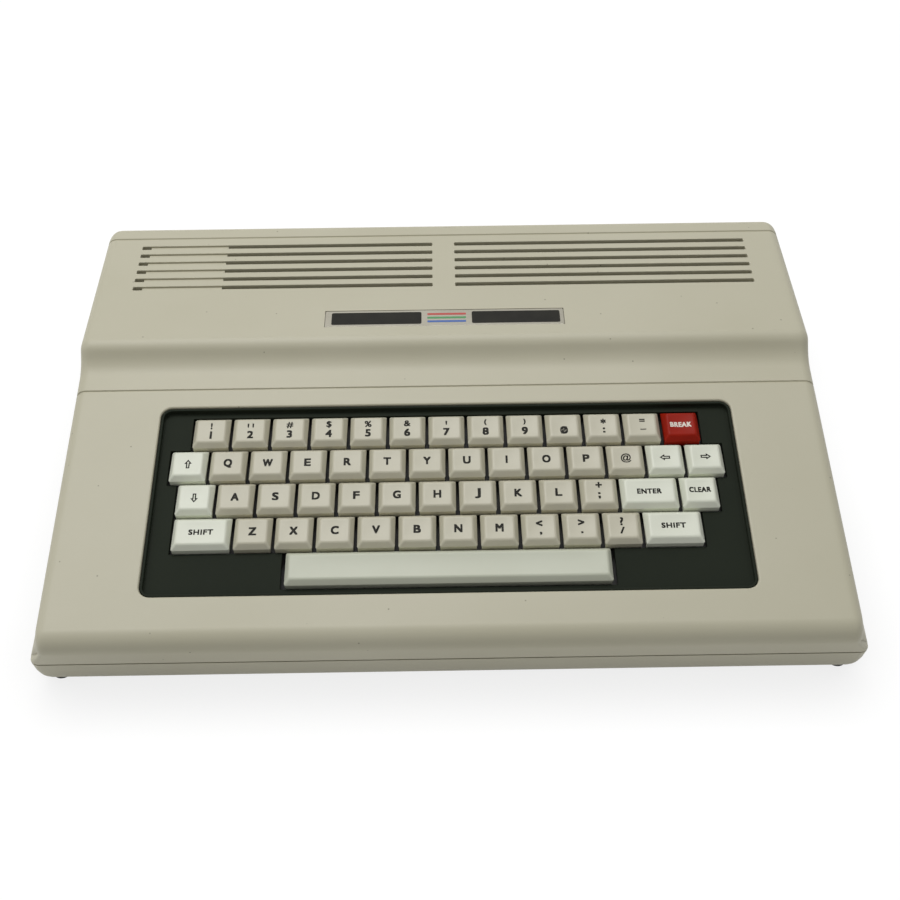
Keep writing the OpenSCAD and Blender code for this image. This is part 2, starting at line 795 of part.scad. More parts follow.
module key_cap(p) {
    x = p[2] * key_pitch / 2 - key_gap / 2;
    y = key_pitch / 2 - key_gap / 2;
    shoulder = skirt_h - cap_h;
    top = [side_taper - x, x - side_taper, front_taper - y, y - back_taper];
    w = cap_wall;
    color(p[3]) on_keyboard() {
        translate([place_x(p), place_y(p), 0]) difference() {
            union() {
                block(2 * x, 2 * y, -cap_h, shoulder);
                taper([-x, x, -y, y], top, shoulder, 0);
            }
            block(2 * (x - w), 2 * (y - w), -cap_h - past, shoulder);
            taper([w - x, x - w, w - y, y - w], [top[0] + w, top[1] - w, top[2] + w, top[3] - w],
                  shoulder, -w);
        }
        for (s = stems(p)) translate([s[0], s[1], 0]) block(stem_w, stem_w, stem_end, -w / 2);
    }
}

module number_and_sign_keys() {
    for (p = concat(number_places, sign_places)) key_cap([p[0], p[1], p[2], "#c9c5b3"]);
}

module named_key(k) {
    key_cap([k[1], k[2], k[3], k[0] == "key_break" ? "#b32a20" : "#dcddcf"]);
}

module space_bar() {
    key_cap(concat(space_key, ["#dcddcf"]));
}

module letter_key(row, i) {
    key_cap([row[1], row[2] + i, 1, "#c9c5b3"]);
}

module keyboard_bezel() {
    color("#262b24") on_keyboard() difference() {
        union() {
            translate([0, (rim_rear - rim_front) / 2, 0])
                block(2 * rim_x, rim_rear + rim_front, bezel_under, bezel_top);
            difference() {
                opening_block(slack, bezel_under, deck_top - lining_sunk);
                opening_block(slack + lining_t, bezel_top, deck_top);
            }
        }
        for (r = row_spans) {
            left = (r[1] - row_middle) * key_pitch + key_gap / 2 - bezel_gap;
            right = (r[2] - row_middle) * key_pitch - key_gap / 2 + bezel_gap;
            half = key_pitch / 2 - key_gap / 2 + bezel_gap;
            translate([left, (3 - r[0]) * key_pitch - half, bezel_under - past])
                cube([right - left, 2 * half, bezel_t + 2 * past]);
        }
    }
}

module key_frame() {
    middle = (rim_rear - rim_front) / 2;
    depth = rim_rear + rim_front;
    hole = stem_w + 2 * slack;
    color("#2a2a29") on_keyboard() difference() {
        union() {
            translate([0, middle, 0]) block(2 * (boss_x + boss_r), depth, frame_under, frame_top);
            translate([0, middle, 0]) block(2 * rim_x, depth, frame_under, bezel_under);
            for (p = all_places) for (s = stems(p)) translate([s[0], s[1], 0])
                block(hole + 2 * guide_wall, hole + 2 * guide_wall, guide_end, frame_top);
            for (x = [-1, 1], y = contact_post_rows) translate([x * contact_post_x, y, -contact_depth])
                cylinder(h = contact_depth + frame_under + past, r = contact_post_r);
        }
        translate([0, middle, 0]) block(2 * (rim_x - rim_t), depth - 2 * rim_t, frame_top, past);
        for (p = all_places) for (s = stems(p)) translate([s[0], s[1], 0])
            block(hole, hole, guide_end - past, frame_top + past);
        for (x = [-1, 1], y = boss_rows) translate([x * boss_x, y, frame_under - past])
            cylinder(h = frame_t + 2 * past, r = hole_r);
        for (x = [-1, 1], y = contact_post_rows) translate([x * contact_post_x, y, -contact_depth - past])
            cylinder(h = contact_screw_l + past, r = pilot_r);
    }
}

module dome_sheet() {
    dome_top = stem_end - slack;
    color("#d8d6cc") on_keyboard() {
        block(2 * sheet_x, 2 * (contact_y - 2), -contact_depth, sheet_t - contact_depth);
        for (p = all_places) for (s = stems(p)) translate([s[0], s[1], -contact_depth])
            cylinder(h = dome_top + contact_depth, r = dome_r);
    }
}

module contact_board() {
    low = -contact_depth - contact_t;
    bend = tail_start + [tail_level, 0];
    end = [bend[0] + tail_lean, board_top + tail_socket_h - tail_t];
    color("#7a6a3f") {
        on_keyboard() difference() {
            block(2 * contact_x, 2 * contact_y, low, -contact_depth);
            for (x = [-1, 1], y = contact_post_rows) translate([x * contact_post_x, y, low - past])
                cylinder(h = contact_t + 2 * past, r = hole_r);
        }
        translate([-tail_w / 2, 0, 0]) rotate([90, 0, 90]) linear_extrude(tail_w)
            polygon([tail_start - [2, 0.4], bend, end, end + [tail_t, 0], bend + [tail_t, tail_t],
                     tail_start + [-2, tail_t - 0.4]]);
    }
}

// Electronics

module main_board() {
    color("#4d6b3c") difference() {
        translate([board_left, board_y, board_z])
            cube([board_right - board_left, board_back - board_y, board_t]);
        for (p = board_pillars) translate([p[0], p[1], board_z - past])
            cylinder(h = board_t + 2 * past, r = hole_r);
    }
}

module chip(x, y, size) {
    translate([board_left + x, y, 0]) block(size[0], size[1], board_top, board_top + chip_h);
}

module board_parts() {
    color("#1e1e1f") {
        for (x = long_chip_x) chip(x, board_back - long_chip_back, long_chip);
        for (y = wide_chip_front) chip(wide_chip_x, board_y + y, wide_chip);
        for (x = small_chip_x, y = small_chip_front) chip(x, board_y + y, small_chip);
        for (c = capacitors)
            translate([board_left + c[0], board_y + c[1], board_top]) cylinder(h = c[3], r = c[2]);
        translate([0, tail_start[0] + tail_level + tail_lean + tail_t / 2, 0]) difference() {
            block(tail_w + tail_socket_d, tail_socket_d, board_top, board_top + tail_socket_h);
            block(tail_w + 2 * slack, tail_t + 2 * slack,
                  board_top + tail_socket_h - tail_t - past, board_top + tail_socket_h + past);
        }
    }
}

module heat_sink() {
    color("#2b2b2d") {
        translate([sink_x, sink_y, 0]) block(sink_t, sink_l, board_top, board_top + sink_h);
        for (i = [-2:2]) translate([sink_x - fin_l / 2 - past, sink_y + i * fin_pitch, 0])
            block(fin_l, fin_t, board_top + fin_t, board_top + sink_h);
    }
}

module transformer() {
    low = floor_z + pillar_h;
    middle = low + board_t + core_h / 2;
    color("#6d6f72") translate([core_x, core_y, 0]) {
        difference() {
            union() {
                block(core_w, core_d, low, low + board_t + core_h);
                block(core_w + 2 * ear_w, core_d, low, low + board_t);
            }
            for (x = [-1, 1]) translate([x * coil_w / 3, 0, 0])
                block(coil_w / 3 + slack, core_d + past,
                      middle - coil_h / 2 - slack, middle + coil_h / 2 + slack);
            for (x = [-1, 1]) translate([x * (core_w + ear_w) / 2, 0, low - past])
                cylinder(h = board_t + 2 * past, r = hole_r);
        }
        difference() {
            block(coil_w, coil_d, middle - coil_h / 2, middle + coil_h / 2);
            block(coil_w + past, core_d + 2 * slack, middle - coil_h, middle - coil_h / 2 + 2);
            block(coil_w + past, core_d + 2 * slack, middle + coil_h / 2 - 2, middle + coil_h);
            block(coil_w / 3 + slack, core_d + 2 * slack, middle - coil_h, middle + coil_h);
        }
    }
}

module cartridge_connector() {
    right = inner_x - card_depth;
    color("#23201d") difference() {
        translate([right - connector_w, bay_y - edge_y / 2, board_top])
            cube([connector_w, edge_y, connector_h]);
        translate([right - edge_depth, bay_y - edge_y / 2 + edge_end, board_top + connector_h / 2])
            cube([edge_depth + past, edge_y - 2 * edge_end, edge_slot]);
    }
}

module cartridge_flap() {
    low = bay_low - flap_over;
    l = bay_w + 2 * flap_over;
    color("#a5a18d") {
        translate([flap_x, bay_y - l / 2, low]) cube([flap_t, l, pivot_z - low]);
        translate([pivot_x, bay_y, pivot_z]) along_y(-l / 2 - pin_l, l / 2 + pin_l, pivot_r);
    }
}

module rf_modulator() {
    color("#a9abab") difference() {
        union() {
            translate([can_x, can_back - can_d, board_top]) cube([can_w, can_d, can_h]);
            translate([jack_x, 0, port_h]) along_y(can_back - past, can_back + jack_l, jack_r);
        }
        translate([can_x + can_wall, can_back - can_d + can_wall, board_top + can_wall])
            cube([can_w - 2 * can_wall, can_d - 2 * can_wall, can_h - 2 * can_wall]);
        translate([jack_x, 0, port_h])
            along_y(can_back - can_wall - past, back_y + 2 * button_proud, jack_bore_r);
        translate([slider_x - slider_w / 2 - slack, can_back - can_wall - past, port_h - slot_h / 2])
            cube([slider_w + slider_travel + 2 * slack, can_wall + 2 * past, slot_h]);
    }
}

module channel_slider() {
    flange = slider_w + 4;
    color("#20201f") translate([slider_x, 0, port_h]) {
        translate([-slider_w / 2, can_back - can_wall - 2, -slider_w / 2])
            cube([slider_w, inner_back + 1.5 - can_back + can_wall + 2, slider_w]);
        translate([-flange / 2, can_back - can_wall - slack - 2, -flange / 2]) cube([flange, 2, flange]);
    }
}

module round_sockets() {
    face = inner_back - slack;
    color("#1d1d1e") for (x = din_x) translate([x, 0, port_h]) difference() {
        translate([-din_w / 2, face - din_d, board_top - port_h])
            cube([din_w, din_d, port_h + din_w / 2 - board_top]);
        difference() {
            along_y(face - din_depth, face + past, din_r);
            along_y(face - din_depth - past, face + 2 * past, din_core_r);
        }
        for (a = [-90:45:90]) rotate([0, a, 0]) translate([0, 0, din_pin_ring])
            along_y(face - din_depth, face + past, din_pin_r);
    }
}

module push_switches() {
    hole = button_stem + 2 * slack;
    hole_l = button_stem_l + button_travel + slack;
    color("#26282b") for (x = [-1, 1]) translate([x * button_x, switch_y, port_h]) difference() {
        translate([-switch_w / 2, 0, -switch_h / 2]) cube([switch_w, switch_d, switch_h]);
        translate([-hole / 2, switch_d - hole_l, -hole / 2]) cube([hole, hole_l + past, hole]);
    }
}

module push_button(x, shade) {
    inside = switch_y + switch_d;
    cap_start = inside + button_travel + 1;
    color(shade) translate([x, 0, port_h]) {
        translate([-button_w / 2, cap_start, -button_w / 2])
            cube([button_w, back_y + button_proud - cap_start, button_w]);
        translate([-button_stem / 2, inside - button_stem_l, -button_stem / 2])
            cube([button_stem, cap_start - inside + button_stem_l + past, button_stem]);
    }
}

module power_button() {
    push_button(-button_x, "#1d1d1d");
}

module reset_button() {
    push_button(button_x, "#1d1d1d");
}

module cord_gland() {
    color("#191919") translate([gland_x, 0, port_h]) difference() {
        union() {
            along_y(back_y - gland_rim_t, back_y, gland_rim_r);
            along_y(back_y - gland_l, back_y, gland_r);
        }
        along_y(back_y - gland_l - past, back_y + past, gland_bore_r);
    }
}

top_cover();
bottom_case();
rubber_feet();
screws();
nameplate();
vent_baffle();
keyboard_bezel();
key_frame();
dome_sheet();
contact_board();
number_and_sign_keys();
for (k = named_keys) named_key(k);
space_bar();
for (r = letter_rows) for (i = [0:len(r[0]) - 1])
    letter_key(r, i);
main_board();
board_parts();
heat_sink();
transformer();
cartridge_connector();
cartridge_flap();
rf_modulator();
channel_slider();
round_sockets();
push_switches();
power_button();
reset_button();
cord_gland();
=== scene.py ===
import json
import math

import bmesh
import bpy
from mathutils import Matrix, Vector


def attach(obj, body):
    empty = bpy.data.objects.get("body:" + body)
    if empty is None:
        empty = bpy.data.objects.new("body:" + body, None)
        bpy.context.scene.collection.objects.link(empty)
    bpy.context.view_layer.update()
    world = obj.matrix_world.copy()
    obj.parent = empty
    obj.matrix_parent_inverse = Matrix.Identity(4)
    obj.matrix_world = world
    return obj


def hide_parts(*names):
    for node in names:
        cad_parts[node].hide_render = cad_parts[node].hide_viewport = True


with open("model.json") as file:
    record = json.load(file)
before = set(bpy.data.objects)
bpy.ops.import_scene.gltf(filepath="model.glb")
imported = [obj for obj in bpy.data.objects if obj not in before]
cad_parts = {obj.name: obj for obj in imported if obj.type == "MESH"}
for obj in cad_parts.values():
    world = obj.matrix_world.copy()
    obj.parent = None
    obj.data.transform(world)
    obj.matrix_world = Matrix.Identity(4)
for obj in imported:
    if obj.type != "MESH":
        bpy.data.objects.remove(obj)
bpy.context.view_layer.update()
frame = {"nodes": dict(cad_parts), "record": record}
mm = 0.001
layer = bpy.context.scene.collection


# Camera, light and floor

cameraSetup = dict(place=(-0.00192, -0.49041, 0.51867), turn=(44.82, 0.381, -0.82), lens=53.954)
lightSetup = dict(
    sky=0.33,
    overhead=dict(place=(-0.35, 0.75, 2.1), size=(1.6, 1.2), power=29.0),
    side=dict(place=(-1.5, 0.2, 1.1), size=(0.9, 0.9), power=2.5),
)
# whiteShare of what the camera sees of the floor is plain glow and the rest takes the real soft shadow; close
# to the case a painted shadow dims the glow, which falls within the shadow's reach in m by the shadow's
# depth, where only openSky of the sky is left
floorSetup = dict(colour="#ececea", half=4.0, whiteShare=0.9, glow=1.06, paintedShadowReach=0.035, paintedShadowDepth=0.15,
                  openSky=0.4, raysPerPoint=8)


def hexColour(text):
    parts = [int(text[i:i + 2], 16) / 255 for i in (1, 3, 5)]
    return [c / 12.92 if c <= 0.04045 else ((c + 0.055) / 1.055) ** 2.4 for c in parts] + [1.0]


def addNode(tree, kind, sockets=None, **settings):
    node = tree.nodes.new(kind)
    for name, value in settings.items():
        setattr(node, name, value)
    for name, value in (sockets or {}).items():
        if isinstance(value, bpy.types.NodeSocket):
            tree.links.new(value, node.inputs[name])
        else:
            node.inputs[name].default_value = value
    return node


def addCamera():
    data = bpy.data.cameras.new("camera")
    data.lens = cameraSetup["lens"]
    data.sensor_width = 36.0
    camera = bpy.data.objects.new("camera", data)
    camera.location = cameraSetup["place"]
    camera.rotation_euler = [math.radians(v) for v in cameraSetup["turn"]]
    layer.objects.link(camera)
    bpy.context.scene.camera = camera


def addLamp(name, setup):
    data = bpy.data.lights.new(name, "AREA")
    data.shape = "RECTANGLE"
    data.size, data.size_y = setup["size"]
    data.energy = setup["power"]
    lamp = bpy.data.objects.new(name, data)
    lamp.location = setup["place"]
    lamp.rotation_euler = (-Vector(setup["place"])).to_track_quat("-Z", "Y").to_euler()
    layer.objects.link(lamp)


def seenDirectly(tree):
    # 1 for what the camera, a reflection or clear plastic looks at, 0 for the light on the object
    path = addNode(tree, "ShaderNodeLightPath").outputs
    either = addNode(tree, "ShaderNodeMath", {0: path["Is Camera Ray"], 1: path["Is Glossy Ray"]},
                     operation="MAXIMUM")
    return addNode(tree, "ShaderNodeMath", {0: either.outputs[0], 1: path["Is Transmission Ray"]},
                   operation="MAXIMUM").outputs[0]


def addSurroundings():
    world = bpy.data.worlds.new("studio")
    bpy.context.scene.world = world
    world.use_nodes = True
    tree = world.node_tree
    tree.nodes.clear()
    strength = addNode(tree, "ShaderNodeMapRange",
                       {"Value": seenDirectly(tree), "To Min": lightSetup["sky"], "To Max": 1.0})
    back = addNode(tree, "ShaderNodeBackground", {"Color": (1, 1, 1, 1), "Strength": strength.outputs[0]})
    addNode(tree, "ShaderNodeOutputWorld", {"Surface": back.outputs[0]})

    material = bpy.data.materials.new("paperSweep")  # white background paper, matt, keeps a soft shadow
    material.use_nodes = True
    tree = material.node_tree
    tree.nodes.clear()
    matt = addNode(tree, "ShaderNodeBsdfDiffuse", {"Color": hexColour(floorSetup["colour"])})
    # painted shadow: ambient occlusion darkens the floor's glow next to the case, a halo that the lamps do
    # not cast
    near = addNode(tree, "ShaderNodeAmbientOcclusion", {"Distance": floorSetup["paintedShadowReach"]},
                   samples=floorSetup["raysPerPoint"])
    level = addNode(tree, "ShaderNodeMapRange", {
        "Value": near.outputs["AO"], "From Min": floorSetup["openSky"], "From Max": 1.0,
        "To Min": floorSetup["glow"] - floorSetup["paintedShadowDepth"], "To Max": floorSetup["glow"]})
    glow = addNode(tree, "ShaderNodeEmission", {"Color": (1, 1, 1, 1), "Strength": level.outputs[0]})
    share = addNode(tree, "ShaderNodeMath", {0: seenDirectly(tree), 1: floorSetup["whiteShare"]},
                    operation="MULTIPLY")
    both = addNode(tree, "ShaderNodeMixShader", {0: share.outputs[0], 1: matt.outputs[0], 2: glow.outputs[0]})
    addNode(tree, "ShaderNodeOutputMaterial", {"Surface": both.outputs[0]})
    bm = bmesh.new()
    bmesh.ops.create_grid(bm, x_segments=1, y_segments=1, size=floorSetup["half"])
    mesh = bpy.data.meshes.new("floor")
    bm.to_mesh(mesh)
    bm.free()
    mesh.materials.append(material)
    floor = bpy.data.objects.new("floor", mesh)
    layer.objects.link(floor)
    bpy.context.scene.view_settings.view_transform = "Standard"


addCamera()
addLamp("overheadSoftbox", lightSetup["overhead"])
addLamp("sideSoftbox", lightSetup["side"])
addSurroundings()
print("camera, light and floor")


# Materials

def newMaterial(name, sockets):
    material = bpy.data.materials.new(name)
    material.use_nodes = True
    tree = material.node_tree
    tree.nodes.clear()
    shader = addNode(tree, "ShaderNodeBsdfPrincipled", sockets)
    addNode(tree, "ShaderNodeOutputMaterial", {"Surface": shader.outputs[0]})
    return material, tree, shader, addNode(tree, "ShaderNodeTexCoord").outputs["Object"]


def perMetre(size):
    return 1000.0 / size  # a texture's scale for a pattern of that size in mm


noiseSpan = (0.3, 0.7)  # a noise pattern lies mostly between these values


def unevenColour(tree, pattern, first, second, between=noiseSpan):
    # a colour that wanders from the first shade to the second as the pattern goes through that span
    low, high = between
    share = addNode(tree, "ShaderNodeMapRange", {"Value": pattern, "From Min": low, "From Max": high})
    return addNode(tree, "ShaderNodeMix", {0: share.outputs[0], 6: hexColour(first), 7: hexColour(second)},
                   data_type="RGBA").outputs[2]


def unevenSurface(tree, shader, pattern, rough, bump, depth):
    # the pattern makes the gloss uneven, between the two roughnesses, and stands out as relief, depth in mm
    low, high = noiseSpan
    gloss = addNode(tree, "ShaderNodeMapRange", {"Value": pattern, "From Min": low, "From Max": high,
                                                 "To Min": rough[0], "To Max": rough[1]})
    relief = addNode(tree, "ShaderNodeBump", {"Strength": bump, "Distance": depth * mm, "Height": pattern})
    tree.links.new(gloss.outputs[0], shader.inputs["Roughness"])
    tree.links.new(relief.outputs[0], shader.inputs["Normal"])


# dark specks in the case's plastic, drawn at about twice their real size so that they show
specks = dict(apart=11.0, colour="#6b6653", core=0.02, edge=0.05)


def mouldedAbs(name, colour, aged, grain=0.45, bump=0.06, rough=0.48, patch=70.0, dots=0.0, shine=0.5):
    # ABS from a spark-eroded mould: an even fine grain, a wide soft highlight and faint uneven ageing
    material, tree, shader, place = newMaterial(name, {"IOR": 1.53, "Specular IOR Level": shine})
    patches = addNode(tree, "ShaderNodeTexNoise", {"Vector": place, "Scale": perMetre(patch), "Detail": 4.0})
    shade = unevenColour(tree, patches.outputs[0], colour, aged)
    if dots:
        cells = addNode(tree, "ShaderNodeTexVoronoi", {"Vector": place, "Scale": perMetre(specks["apart"])})
        dotted = addNode(tree, "ShaderNodeMapRange", {
            "Value": cells.outputs["Distance"], "From Min": specks["core"], "From Max": specks["edge"],
            "To Min": dots, "To Max": 0.0})
        shade = addNode(tree, "ShaderNodeMix", {
            0: dotted.outputs[0], 6: shade, 7: hexColour(specks["colour"])}, data_type="RGBA").outputs[2]
    tree.links.new(shade, shader.inputs["Base Color"])
    # the grain is about 0.1 mm on the real case, drawn coarser so that it shows
    grains = addNode(tree, "ShaderNodeTexNoise", {"Vector": place, "Scale": perMetre(grain), "Detail": 3.0})
    unevenSurface(tree, shader, grains.outputs[0], (rough - 0.05, rough + 0.07), bump, grain)
    return material


def softRubber(name, colour, worn, rough=0.75, bloom=4.0):
    # vulcanised rubber: matt, with a dusty bloom
    material, tree, shader, place = newMaterial(name, {"IOR": 1.52})
    dust = addNode(tree, "ShaderNodeTexNoise", {"Vector": place, "Scale": perMetre(bloom), "Detail": 5.0})
    tree.links.new(unevenColour(tree, dust.outputs[0], colour, worn), shader.inputs["Base Color"])
    unevenSurface(tree, shader, dust.outputs[0], (rough - 0.08, rough + 0.1), 0.1, 0.3)
    return material


def sheetMetal(name, colour, dull, rough, line=0.6, drawnOut=25.0, cloud=18.0):
    # rolled or brushed sheet: lines of that width along X, drawn out so many times, spread the highlight
    material, tree, shader, place = newMaterial(name, {"Metallic": 1.0})
    along = addNode(tree, "ShaderNodeMapping", {"Vector": place, "Scale": (1.0, drawnOut, drawnOut)})
    lines = addNode(tree, "ShaderNodeTexNoise", {"Vector": along.outputs[0],
                                                 "Scale": perMetre(line * drawnOut), "Detail": 4.0})
    clouds = addNode(tree, "ShaderNodeTexNoise", {"Vector": place, "Scale": perMetre(cloud), "Detail": 3.0})
    tree.links.new(unevenColour(tree, clouds.outputs[0], colour, dull), shader.inputs["Base Color"])
    unevenSurface(tree, shader, lines.outputs[0], (rough - 0.08, rough + 0.1), 0.08, 0.05)
    return material


def boardLaminate(name, mask, copper, pitch=2.54):
    # laminate under its lacquer: tracks on a 2.54 mm grid show as a paler tone
    material, tree, shader, place = newMaterial(name, {"IOR": 1.5, "Roughness": 0.35})
    tracks = addNode(tree, "ShaderNodeTexVoronoi", {"Vector": place, "Scale": perMetre(pitch * 2),
                                                    "Randomness": 0.6}, distance="MANHATTAN", feature="F1")
    height = tracks.outputs["Distance"]
    tree.links.new(unevenColour(tree, height, copper, mask, (0.35, 0.4)), shader.inputs["Base Color"])
    relief = addNode(tree, "ShaderNodeBump", {"Strength": 0.2, "Distance": 0.05 * mm, "Height": height})
    tree.links.new(relief.outputs[0], shader.inputs["Normal"])
    return material


keyGrain = dict(grain=0.3, bump=0.03)  # key caps come from a smoother mould than the case
materials = {
    "case_top": mouldedAbs("texturedAbsCover", "#bdb9a3", "#b9b59e", dots=0.7),
    "case_bottom": mouldedAbs("texturedAbsBase", "#b9b59f", "#b5b19a", dots=0.4),
    "foot_rubber": softRubber("footRubber", "#161615", "#2b2a28"),
    "screw_steel": sheetMetal("zincPlatedSteel", "#a9a9a6", "#8b8b88", 0.35),
    "badge_metal": sheetMetal("satinAluminium", "#8e8b80", "#858277", 0.46),
    "bezel_black": mouldedAbs("blackBezelAbs", "#242920", "#20251d", grain=0.5, bump=0.08, rough=0.6,
                              shine=0.06),
    "frame_black": mouldedAbs("glassFilledNylon", "#242423", "#2e2d2b", rough=0.6),
    "dome_rubber": softRubber("siliconeSheet", "#d2d0c4", "#c3c0b2", rough=0.5),
    "contact_laminate": boardLaminate("phenolicPaperBoard", "#7a6236", "#8d7446"),
    "board_green": boardLaminate("glassEpoxyBoard", "#3f5c31", "#5d7a45"),
    "chip_black": mouldedAbs("epoxyPackage", "#1c1c1d", "#252526", grain=0.3, rough=0.55, patch=12.0),
    "sink_black": sheetMetal("blackAnodisedAluminium", "#2a2a2c", "#353537", 0.5),
    "transformer_steel": sheetMetal("varnishedSteel", "#5f6062", "#6f6a60", 0.45),
    "connector_black": mouldedAbs("phenolicConnector", "#211d19", "#2b2620", rough=0.4, patch=15.0),
    "flap_plastic": mouldedAbs("flapAbs", "#aaa692", "#a09c87", rough=0.5),
    "can_tin": sheetMetal("tinPlatedSheet", "#b4b6b4", "#9b9d9c", 0.3),
    "slider_black": mouldedAbs("sliderAbs", "#1d1d1c", "#262625", rough=0.4, patch=8.0),
    "socket_black": mouldedAbs("socketNylon", "#191919", "#232322", rough=0.45, patch=12.0),
    "switch_black": mouldedAbs("switchPbt", "#25272a", "#2f3133", rough=0.5, patch=12.0),
    "button_black": mouldedAbs("buttonAbs", "#1b1b1b", "#232323", grain=0.3, bump=0.03, rough=0.3, patch=20.0,
                               shine=0.2),
    "gland_black": mouldedAbs("glandNylon", "#171717", "#222222", rough=0.5, patch=15.0),
    "key_beige": mouldedAbs("keyAbsBeige", "#c2beaa", "#bdb9a4", rough=0.42, patch=30.0, **keyGrain),
    "key_white": mouldedAbs("keyAbsWhite", "#dde0d0", "#d8dbca", rough=0.42, patch=30.0, **keyGrain),
    "key_red": mouldedAbs("keyAbsRed", "#981c08", "#8c1806", rough=0.4, patch=12.0, shine=0.1, **keyGrain),
}
spaceBarPlastic = mouldedAbs("keyAbsGrey", "#c4c7b5", "#bfc2af", rough=0.45, patch=40.0, **keyGrain)
inkGrain = dict(grain=0.3, patch=10.0)
legendInk = mouldedAbs("legendInkBlack", "#1d1c18", "#26251f", bump=0.02, rough=0.5, shine=0.1, **inkGrain)
legendWhite = mouldedAbs("legendInkWhite", "#e4ded2", "#d8d0c2", bump=0.02, rough=0.5, **inkGrain)
stripeInks = [mouldedAbs("stripe" + name, shade, shade, bump=0.01, rough=0.35, **inkGrain)
              for name, shade in (("Red", "#b5392e"), ("Green", "#3f8a4c"), ("Blue", "#2f5aa3"))]

slotOf = {row["node"]: row["material_slot"] for row in frame["record"]["subparts"]}
for name, node in frame["nodes"].items():
    node.data.materials.clear()
    node.data.materials.append(materials[slotOf[name]])
print("materials")


# Building helpers; sizes below are in mm and become metres when a piece is finished

def bodyOf(node):
    return next(b for b, members in frame["record"]["behaviour"]["bodies"].items() if node in members)


def finished(bm, name, node, inks, sharp=38.0, replace=True):
    bmesh.ops.scale(bm, vec=(mm,) * 3, verts=bm.verts)
    for face in bm.faces:
        face.smooth = True
    for edge in bm.edges:
        edge.smooth = len(edge.link_faces) != 2 or edge.calc_face_angle(0.0) < math.radians(sharp)
    mesh = bpy.data.meshes.new(name)
    bm.to_mesh(mesh)
    bm.free()
    for ink in inks:
        mesh.materials.append(ink)
    piece = bpy.data.objects.new(name, mesh)
    layer.objects.link(piece)
    evenNormals = piece.modifiers.new("evenNormals", "WEIGHTED_NORMAL")
    evenNormals.keep_sharp = True
    evenNormals.weight = 90
    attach(piece, bodyOf(node))
    if replace:
        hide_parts(node)
    return piece


def scratch(bm, name):
    mesh = bpy.data.meshes.new(name)
    bm.to_mesh(mesh)
    bm.free()
    piece = bpy.data.objects.new(name, mesh)
    layer.objects.link(piece)
    return piece


def applied(piece):
    bpy.context.view_layer.update()
    result = bpy.data.meshes.new_from_object(piece.evaluated_get(bpy.context.evaluated_depsgraph_get()))
    bm = bmesh.new()
    bm.from_mesh(result)
    bpy.data.meshes.remove(result)
    return bm


def bevelled(bm, edges, radius, segments, clamp=True):
    return bmesh.ops.bevel(bm, geom=edges, offset=radius, offset_type="OFFSET", segments=segments,
                           profile=0.5, affect="EDGES", clamp_overlap=clamp, material=-1)


def withEdges(faces):
    # faces with their own edges and corners, as the cutting operators take them
    return faces + list({e for f in faces for e in f.edges}) + list({v for f in faces for v in f.verts})


def span(middle, size):
    return middle - size / 2, middle + size / 2


def box(bm, x, y, z, cornerRadius=0.0, segments=5):
    # x, y and z are its lower and upper end in each direction; cornerRadius rounds the upright edges
    corners = bmesh.ops.create_cube(bm, size=1.0)["verts"]
    bmesh.ops.scale(bm, vec=[high - low for low, high in (x, y, z)], verts=corners)
    bmesh.ops.translate(bm, vec=[(low + high) / 2 for low, high in (x, y, z)], verts=corners)
    if not cornerRadius:
        return corners
    uprights = [e for e in {e for v in corners for e in v.link_edges}
                if abs(e.verts[0].co.z - e.verts[1].co.z) > (z[1] - z[0]) / 2]
    made = bevelled(bm, uprights, cornerRadius, segments)
    return list({v for v in corners if v.is_valid} | set(made["verts"]))


def cylinder(bm, centre, radius, length):
    # lies along Y
    made = bmesh.ops.create_cone(bm, cap_ends=True, segments=48, radius1=radius, radius2=radius,
                                 depth=length)
    turn = Matrix.Rotation(math.radians(90), 4, "X")
    bmesh.ops.transform(bm, matrix=Matrix.Translation(centre) @ turn, verts=made["verts"])


def pieceName(node):
    words = node.split("_")
    return words[0] + "".join(w.capitalize() for w in words[1:])


# Top cover

cover = dict(
    width=380.0, topDraw=5.4, depth=258.0, frontY=-131.0, height=76.0, frontHeight=39.7, slope=10.3,
    lean=15.0, wall=3.0, low=20.35, nose=8.5, frontCorner=4.2, backCorner=8.0, edge=5.5, backEdge=4.0,
    rampFoot=16.0, rampCrest=8.6, stepBack=159.4, ramp=48.0, grooveWidth=1.5, grooveSide=0.4, grooveDepth=0.6,
    backGroove=247.0, arcParts=10, straightParts=8, cornerParts=12, seamEdge=0.35,
)
keyboard = dict(front=73.9, proud=1.4, openingWidth=280.2, openingFront=52.6, openingRear=52.7,
                openingRadius=5.5, openingEdge=0.9, groove=63.4)
vents = dict(rows=6, pitch=7.05, width=2.8, back=221.4, inner=6.0, outer=163.8, corner=0.6, edge=0.35)
badge = dict(width=122.5, depth=12.6, thick=0.9, back=176.4, gap=0.15)
rear = dict(height=24.0, buttonX=142.0, hole=12.6, roundX=(-82.0, -56.0, -26.0, 0.0), roundHole=9.0,
            jackX=42.0, jackHole=8.0, sliderX=72.0, sliderSlot=(9.2, 5.8), glandX=-165.0, glandRim=8.05)
bay = dict(back=160.0, width=104.0, low=12.5, high=34.5, inward=8.0, outward=20.0)
backY = cover["frontY"] + cover["depth"]
topX = cover["width"] / 2 - cover["topDraw"]
slope, lean, ramp = (math.radians(cover[k]) for k in ("slope", "lean", "ramp"))


def deckHeight(y):
    return cover["frontHeight"] + (y - cover["frontY"]) * math.tan(slope)


keyY = cover["frontY"] + keyboard["front"]
keyZ = deckHeight(keyY) + keyboard["proud"] / math.cos(slope)
onKeyboard = Matrix.Translation((0, keyY, keyZ)) @ Matrix.Rotation(slope, 4, "X")
noseZ = deckHeight(cover["frontY"] + cover["nose"]) - cover["nose"] / math.cos(slope)
faceFoot = (cover["frontY"] + cover["nose"] * (1 - math.cos(lean))
            + (noseZ - cover["nose"] * math.sin(lean)) * math.tan(lean))


